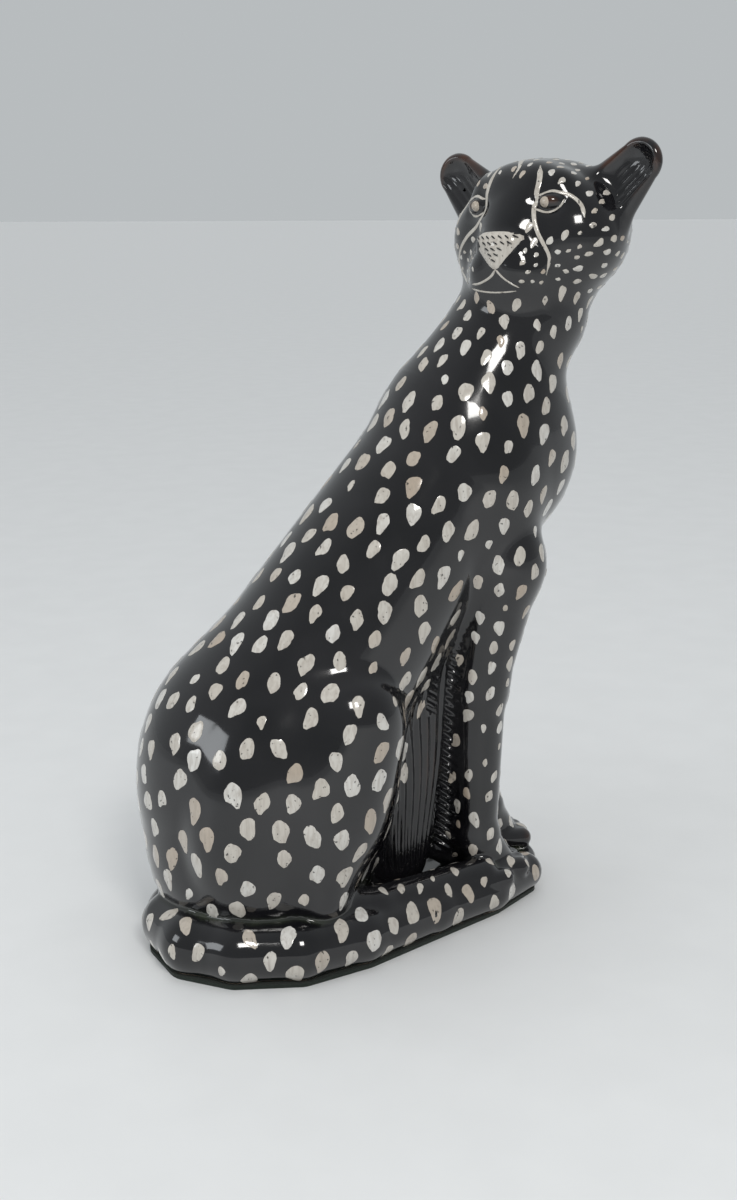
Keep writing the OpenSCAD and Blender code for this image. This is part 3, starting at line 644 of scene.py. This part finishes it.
# Nose pad and eyes in the head frame's y and z
NOSE = [(-10, 0.2), (-6, 1.9), (0, 2.2), (6, 1.8), (10.5, 0), (10, -3), (5.5, -8.4), (1, -12.6),
        (-4, -8.4), (-8.6, -3.2)]
NOSE_MIDDLE = (0.5, -3.8)
NOSE_RINGS = (1, 0.9, 0.75, 0.6, 0.45, 0.3, 0.15)
EYE_OUT, EYE_UP = 16.2, 12.8
EYE_RINGS = (1, 0.6)
NOSE_TONE, LINE_TONE, EYE_TONE, INK_TONE = 0.3, 0.5, 0.08, 0


AHEAD_OF_NOSE, MARCH_STEPS = 40.0, 40


def on_face(y, z):
    """Points of the face straight in front of the head frame's y and z, found along its x."""
    q = np.stack([np.full(len(y), AHEAD_OF_NOSE), y, z], 1)
    for _ in range(MARCH_STEPS):
        q[:, 0] -= skin(from_head(q))
    return from_head(q)


def add_pad(decor, middle, outline, shares, tone, lift):
    """Raised patch on the face. outline holds its rim in the head frame's y and z."""
    middle = np.array(middle)
    rings = np.stack([on_face(*(middle + (outline - middle) * share).T) for share in shares])
    patches(decor, on_face(*middle[:, None]), rings[None], [tone], lift)


def add_nose(decor, ink):
    """Pale pad, wide above and pointed below, with rows of short dark strokes."""
    outline = np.array(NOSE, float)
    rim = curve_through(np.column_stack([outline, np.zeros(len(outline))]), 1.6)[:, :2]
    add_pad(decor, NOSE_MIDDLE, rim[:-1][::-1], NOSE_RINGS, NOSE_TONE, 0.3)
    for row in range(5):
        z = -0.2 - 2.2 * row
        reach = 8.6 - 1.75 * row
        for k in range(-4, 5):
            y = 0.6 + k * 2.7 + (row % 2) * 1.2
            if abs(y - 0.8) < reach:
                a, b = on_face(np.array([y - 0.9, y + 0.9]), np.array([z + 0.6, z - 0.6]))
                ribbon(ink, [a, (a + b) / 2, b], 0.95, 0.7, INK_TONE, 0.55)


def add_eyes(decor):
    """Pale round irises between the lids."""
    turn = np.linspace(0, 2 * np.pi, 16, endpoint=False)
    for s in (-1, 1):
        eye = np.array([s * EYE_OUT, EYE_UP])
        ring = eye + np.column_stack([1.9 * np.cos(turn), 2.1 * np.sin(turn)])
        add_pad(decor, eye, ring, EYE_RINGS, EYE_TONE, 0.2)


def add_face(decor, ink):
    """Tear lines, lids and mouth, then the nose and the eyes. Returns the lines, to keep spots off them."""
    mirror = np.array([1, -1, 1])
    lines = list(FACE_LINES)
    for width, end, points in EYE_LINES:
        lines += [(width, end, points), (width, end, [tuple(mirror * p) for p in points])]
    laid = []
    for width, end, points in lines:
        world = from_head(points)
        ribbon(decor, world, width, end, LINE_TONE)
        laid.append(curve_through(world))
    add_nose(decor, ink)
    add_eyes(decor)
    return laid


# ---------- materials ----------

class Look:
    """A node material, with short calls to add nodes and join them to its surface shader."""

    def __init__(self, name, **inputs):
        self.material = bpy.data.materials.new(name)
        self.material.use_nodes = True
        self.tree = self.material.node_tree
        self.shader = next(n for n in self.tree.nodes if n.type == "BSDF_PRINCIPLED")
        self.place = self.node("ShaderNodeTexCoord").outputs["Object"]
        for label, value in inputs.items():
            self.set(label.replace("_", " "), value)

    def plug(self, socket, value):
        if isinstance(value, bpy.types.NodeSocket):
            self.tree.links.new(value, socket)
        elif isinstance(value, tuple) and socket.type == "RGBA":
            socket.default_value = (*value, 1)
        else:
            socket.default_value = value

    def set(self, label, value):
        self.plug(self.shader.inputs[label], value)

    def node(self, kind, settings=(), inputs=()):
        node = self.tree.nodes.new(kind)
        for label, value in dict(settings).items():
            setattr(node, label, value)
        for label, value in dict(inputs).items():
            self.plug(node.inputs[label], value)
        return node

    def stretched(self, x, y, z):
        """The place, scaled along each axis, for grain that runs one way."""
        node = self.node("ShaderNodeMapping", inputs={"Vector": self.place, "Scale": (x, y, z)})
        return node.outputs["Vector"]

    def noise(self, scale, detail=3.0, place=None, distortion=0.0):
        """Soft random pattern; scale is in features per metre."""
        inputs = {"Vector": place or self.place, "Scale": scale, "Detail": detail, "Distortion": distortion}
        return self.node("ShaderNodeTexNoise", inputs=inputs).outputs["Fac"]

    def attribute(self, label):
        return self.node("ShaderNodeAttribute", {"attribute_name": label}).outputs["Fac"]

    def span(self, value, low, high, to_low=0.0, to_high=1.0):
        """Maps low..high onto to_low..to_high, clamped."""
        inputs = {0: value, 1: low, 2: high, 3: to_low, 4: to_high}
        return self.node("ShaderNodeMapRange", inputs=inputs).outputs[0]

    def times(self, a, b):
        return self.node("ShaderNodeMath", {"operation": "MULTIPLY"}, {0: a, 1: b}).outputs[0]

    def mix(self, share, a, b):
        """Colour a where share is 0 and colour b where it is 1."""
        return self.node("ShaderNodeMix", {"data_type": "RGBA"}, {0: share, 6: a, 7: b}).outputs[2]

    def bump(self, height, strength, depth_mm):
        """Adds relief on top of any relief the look already has."""
        links = self.shader.inputs["Normal"].links
        inputs = {"Height": height, "Strength": strength, "Distance": depth_mm * MM}
        node = self.node("ShaderNodeBump", inputs=inputs)
        if links:
            self.tree.links.new(links[0].from_socket, node.inputs["Normal"])
        self.set("Normal", node.outputs["Normal"])


def glaze_look():
    """Glossy black glaze, brown where it runs thin and green where it pools, over pale bisque clay."""
    look = Look("black_glaze", Coat_Roughness=0.04, IOR=1.5)
    bare = look.attribute("bare")
    cloud = look.span(look.noise(26, 4), 0.38, 0.68)
    black = look.mix(cloud, (0.0030, 0.0030, 0.0040), (0.0105, 0.0100, 0.0115))
    thin = look.times(look.attribute("thin"), look.span(look.noise(90, 3), 0.38, 0.62))
    black = look.mix(look.times(thin, 0.8), black, (0.055, 0.019, 0.008))
    pool = look.times(look.attribute("pool"), look.span(look.noise(70, 2), 0.3, 0.6))
    black = look.mix(look.times(pool, 0.7), black, (0.050, 0.062, 0.036))
    clay = look.mix(look.span(look.noise(45, 5), 0.35, 0.65), (0.46, 0.33, 0.24), (0.60, 0.47, 0.36))
    clay = look.mix(look.span(look.noise(900, 2), 0.66, 0.72), clay, (0.25, 0.15, 0.10))
    look.set("Base Color", look.mix(bare, black, clay))
    smears = look.span(look.noise(60, 5), 0.35, 0.75, 0.07, 0.17)
    look.set("Roughness", look.node("ShaderNodeMix", inputs={0: bare, 2: smears, 3: 0.85}).outputs[0])
    look.set("Coat Weight", look.span(bare, 0, 1, 0.5, 0))
    look.bump(look.noise(34, 2), 0.35, 1.0)
    look.bump(look.noise(420, 3), look.span(bare, 0, 1, 0.015, 0.35), 0.5)
    return look.material


def spot_look():
    """Pale slip under the same gloss: each patch has its own tone, with brush streaks and dark flecks."""
    look = Look("pale_slip", Roughness=0.16, Coat_Weight=0.6, Coat_Roughness=0.05)
    tone = look.attribute("tone")
    cream = look.mix(look.span(tone, 0.0, 0.30), (0.40, 0.33, 0.26), (0.52, 0.49, 0.44))
    cream = look.mix(look.span(tone, 0.5, 1.0), cream, (0.62, 0.61, 0.58))
    streaks = look.noise(260, 4, look.stretched(2.4, 2.4, 0.5), 0.6)
    cream = look.mix(look.span(streaks, 0.42, 0.72, 0, 0.55), cream, (0.30, 0.26, 0.22))
    flecks = look.span(look.noise(640, 2), 0.66, 0.70)
    cream = look.mix(look.times(flecks, 0.85), cream, (0.02, 0.018, 0.017))
    look.set("Base Color", cream)
    look.bump(streaks, 0.25, 0.15)
    return look.material


def metal_look(name, colour, tarnish, roughness=0.28):
    """Plated or bare metal with fine brushing and patches of tarnish."""
    look = Look(name, Metallic=1.0)
    patch = look.span(look.noise(120, 5), 0.45, 0.72)
    look.set("Base Color", look.mix(patch, colour, tarnish))
    look.set("Roughness", look.span(look.noise(300, 4), 0.3, 0.7, roughness * 0.7, roughness * 1.6))
    look.bump(look.noise(900, 2, look.stretched(1, 1, 0.05)), 0.2, 0.05)
    return look.material


def moulded_look(name, colour, fleck, roughness=0.3, grain=0.12):
    """Moulded plastic, bakelite or rubber: faint flow marks, a little dust and a fine skin."""
    look = Look(name, Coat_Weight=0.15, Coat_Roughness=0.2)
    flow = look.span(look.noise(55, 5, distortion=1.5), 0.4, 0.7)
    look.set("Base Color", look.mix(flow, colour, fleck))
    look.set("Roughness", look.span(look.noise(210, 4), 0.3, 0.7, roughness * 0.75, roughness * 1.35))
    look.bump(look.noise(1500, 2), grain, 0.08)
    return look.material


def cord_look():
    """Brown vinyl cord with fine lengthwise draw marks and worn, duller patches."""
    look = Look("brown_vinyl", Coat_Weight=0.2, Coat_Roughness=0.25)
    worn = look.span(look.noise(35, 4), 0.4, 0.7)
    look.set("Base Color", look.mix(worn, (0.050, 0.026, 0.014), (0.095, 0.055, 0.032)))
    look.set("Roughness", look.span(look.noise(150, 3), 0.3, 0.7, 0.32, 0.55))
    look.bump(look.noise(2400, 2, look.stretched(1, 0.06, 1)), 0.25, 0.06)
    return look.material


def felt_look():
    """Pressed green felt with a hairy, mottled face, darkened nearly to black as painted shade under the
    base.
    """
    look = Look("felt_darkened_as_shade", Roughness=0.95, Sheen_Weight=0.08, Sheen_Roughness=0.6)
    fibre = look.noise(1800, 5, distortion=2.0)
    # Green felt darkened nearly to black: painted shade, so the felt's edge reads as the shadow under the
    # base
    green = look.mix(look.span(fibre, 0.35, 0.65), (0.003, 0.008, 0.005), (0.009, 0.018, 0.012))
    look.set("Base Color", green)
    look.bump(fibre, 0.8, 0.35)
    return look.material


def card_look():
    """Fibre card that insulates the socket shell."""
    look = Look("fibre_card", Roughness=0.8)
    fibre = look.noise(700, 5, look.stretched(1, 1, 0.2))
    look.set("Base Color", look.mix(look.span(fibre, 0.35, 0.65), (0.46, 0.37, 0.22), (0.62, 0.54, 0.38)))
    look.bump(fibre, 0.3, 0.1)
    return look.material


def glass_look(name, tint, roughness, clear=1.0):
    """Bulb glass, with the slight unevenness of a blown or frosted wall; clear is 0 for milk glass."""
    look = Look(name, Transmission_Weight=clear, IOR=1.5)
    darker = tuple(c * 0.93 for c in tint)
    look.set("Base Color", look.mix(look.span(look.noise(90, 2), 0.4, 0.7), tint, darker))
    look.set("Roughness", look.span(look.noise(240, 3), 0.3, 0.7, roughness * 0.8, roughness * 1.2 + 0.01))
    return look.material


SOFT_EDGED = ("switch_lower", "switch_upper", "plug_body", "cord_grommet", "lower_locknut", "upper_locknut")
WELD_GAP, EDGE_RADIUS = 0.001, 0.35


def dress_hardware():
    """Gives every CAD node that stays in sight its material, and softens the edges of the moulded ones."""
    brass = metal_look("aged_brass", (0.72, 0.50, 0.20), (0.30, 0.19, 0.08))
    steel = metal_look("zinc_steel", (0.62, 0.63, 0.64), (0.36, 0.33, 0.29), 0.34)
    nickel = metal_look("nickel_blade", (0.70, 0.66, 0.58), (0.42, 0.36, 0.27), 0.24)
    bakelite = moulded_look("brown_bakelite", (0.030, 0.014, 0.008), (0.070, 0.032, 0.016), 0.22)
    phenolic = moulded_look("phenolic_disc", (0.050, 0.024, 0.014), (0.100, 0.050, 0.028), 0.4)
    rubber = moulded_look("black_rubber", (0.012, 0.012, 0.012), (0.030, 0.028, 0.026), 0.6, 0.3)
    red_rubber = moulded_look("red_rubber", (0.180, 0.045, 0.030), (0.110, 0.035, 0.025), 0.65, 0.3)
    ivory = moulded_look("ivory_wheel", (0.56, 0.49, 0.34), (0.46, 0.38, 0.25), 0.3)
    fibre = card_look()
    looks = {
        "felt_pad": felt_look(), "cushion_washer": red_rubber, "cord_grommet": rubber,
        "socket_sleeve": fibre, "plug_disc": fibre, "socket_body": phenolic, "bulb_insulator": rubber,
        "lower_washer": steel, "upper_washer": steel, "cap_set_screw": steel, "switch_pin": steel,
        "switch_screws": steel, "plug_screws": steel, "bulb_contact": steel, "bulb_filament": steel,
        "bulb_base": nickel, "plug_blades": nickel, "switch_wheel": ivory,
        "switch_lower": bakelite, "switch_upper": bakelite, "plug_body": bakelite,
        "bulb_glass": glass_look("frosted_glass", (0.90, 0.89, 0.86), 0.28, 0.35),
        "bulb_stem": glass_look("clear_glass", (0.93, 0.97, 0.96), 0.02),
    }
    vinyl = cord_look()
    for name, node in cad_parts.items():
        material = vinyl if name in ("lamp_cord", "plug_cord") else looks.get(name, brass)
        if not node.data.materials:
            node.data.materials.append(material)
        for slot in node.material_slots:
            slot.link = "OBJECT"
            slot.material = material
    for name in SOFT_EDGED:
        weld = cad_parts[name].modifiers.new("weld", "WELD")
        weld.merge_threshold = WELD_GAP * MM
        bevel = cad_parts[name].modifiers.new("soft_edges", "BEVEL")
        bevel.width = EDGE_RADIUS * MM
        bevel.segments = 2
        bevel.limit_method = "ANGLE"
        bevel.angle_limit = math.radians(40)


# ---------- stage, light and camera ----------

CAMERA_AT = (-0.182, -0.554, 0.305)
CAMERA_TURN = 22.0
CAMERA_DOWN = 15.2
CAMERA_LENS = 43.5
SENSOR_WIDTH = 36
FLOOR_SIZE = 60
LAMP_MIDDLE = (0.03, 0, 0.16)
# Strength of the room on each side, and the span of directions over which it changes
ROOM_DIM, ROOM_BRIGHT = 0.37, 0.60
ROOM_BLEND = (-0.5, 0.6)
CEILING_POWER, CEILING_SPREAD = 1.15, 95
CEILING_TILT = (12, -14, 0)


def add_floor():
    """Pale painted table top, faintly uneven."""
    look = Look("pale_floor", Roughness=0.55)
    tone = look.span(look.noise(30, 4), 0.35, 0.7)
    look.set("Base Color", look.mix(tone, (0.74, 0.75, 0.755), (0.76, 0.77, 0.775)))
    look.bump(look.noise(180, 4), 0.03, 0.2)
    bpy.ops.mesh.primitive_plane_add(size=FLOOR_SIZE, location=(0, 0, 0))
    floor = bpy.context.object
    floor.name = "floor"
    floor.data.materials.append(look.material)


def add_light(name, place, target, size, power, colour):
    """Soft square light at a place in metres, aimed at a target."""
    data = bpy.data.lights.new(name, "AREA")
    data.size = size
    data.energy = power
    data.color = colour
    light = bpy.data.objects.new(name, data)
    bpy.context.scene.collection.objects.link(light)
    light.location = place
    aim = Vector(target) - Vector(place)
    light.rotation_euler = aim.to_track_quat("-Z", "Y").to_euler()


def add_room():
    """Pale surroundings, dimmer on the camera's side so that the black glaze stays dark."""
    world = bpy.data.worlds.new("studio")
    bpy.context.scene.world = world
    world.use_nodes = True
    tree = world.node_tree
    sky = tree.nodes["Background"]
    sky.inputs["Color"].default_value = (0.80, 0.84, 0.86, 1)
    place = tree.nodes.new("ShaderNodeTexCoord")
    axes = tree.nodes.new("ShaderNodeSeparateXYZ")
    strength = tree.nodes.new("ShaderNodeMapRange")
    for socket, value in enumerate((*ROOM_BLEND, ROOM_DIM, ROOM_BRIGHT), 1):
        strength.inputs[socket].default_value = value
    tree.links.new(place.outputs["Generated"], axes.inputs[0])
    tree.links.new(axes.outputs["Y"], strength.inputs[0])
    tree.links.new(strength.outputs[0], sky.inputs["Strength"])


def add_ceiling():
    """Very wide light from above. It lights the floor evenly and leaves no reflection."""
    sun = bpy.data.lights.new("ceiling", "SUN")
    sun.energy = CEILING_POWER
    sun.angle = math.radians(CEILING_SPREAD)
    ceiling = bpy.data.objects.new("ceiling", sun)
    bpy.context.scene.collection.objects.link(ceiling)
    ceiling.rotation_euler = [math.radians(angle) for angle in CEILING_TILT]
    ceiling.visible_glossy = False


def add_lights():
    """The room, the ceiling and two small lights for glints."""
    add_room()
    add_ceiling()
    add_light("window_glint", (-0.10, -1.25, 1.15), LAMP_MIDDLE, 0.36, 9, (1.0, 0.98, 0.95))
    add_light("side_glint", (-1.4, -0.2, 0.6), LAMP_MIDDLE, 0.5, 3, (0.93, 0.97, 1.0))


def add_camera():
    """Camera at the viewing angle of the reference."""
    data = bpy.data.cameras.new("camera")
    data.sensor_width = SENSOR_WIDTH
    data.lens = CAMERA_LENS
    camera = bpy.data.objects.new("camera", data)
    bpy.context.scene.collection.objects.link(camera)
    turn, down = math.radians(CAMERA_TURN), math.radians(CAMERA_DOWN)
    forward = Vector((math.sin(turn) * math.cos(down), math.cos(turn) * math.cos(down), -math.sin(down)))
    camera.location = CAMERA_AT
    camera.rotation_euler = forward.to_track_quat("-Z", "Y").to_euler()
    bpy.context.scene.camera = camera


def build():
    """Makes the figure, lays its spots and face on it, and dresses the CAD nodes."""
    glaze, slip = glaze_look(), spot_look()
    figure, points, normals = build_figure()
    figure.data.materials.append(glaze)
    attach(figure, "lamp")
    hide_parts("ceramic_figure")
    spots, lines, ink = Decor(), Decor(), Decor()
    laid = add_face(lines, ink)
    add_spots(spots, points, normals, laid)
    spots.finish("pale_spots", slip)
    lines.finish("face_lines", slip)
    ink.finish("nose_strokes", glaze)
    dress_hardware()


build()
add_floor()
add_lights()
add_camera()
bpy.context.scene.view_settings.view_transform = "Standard"
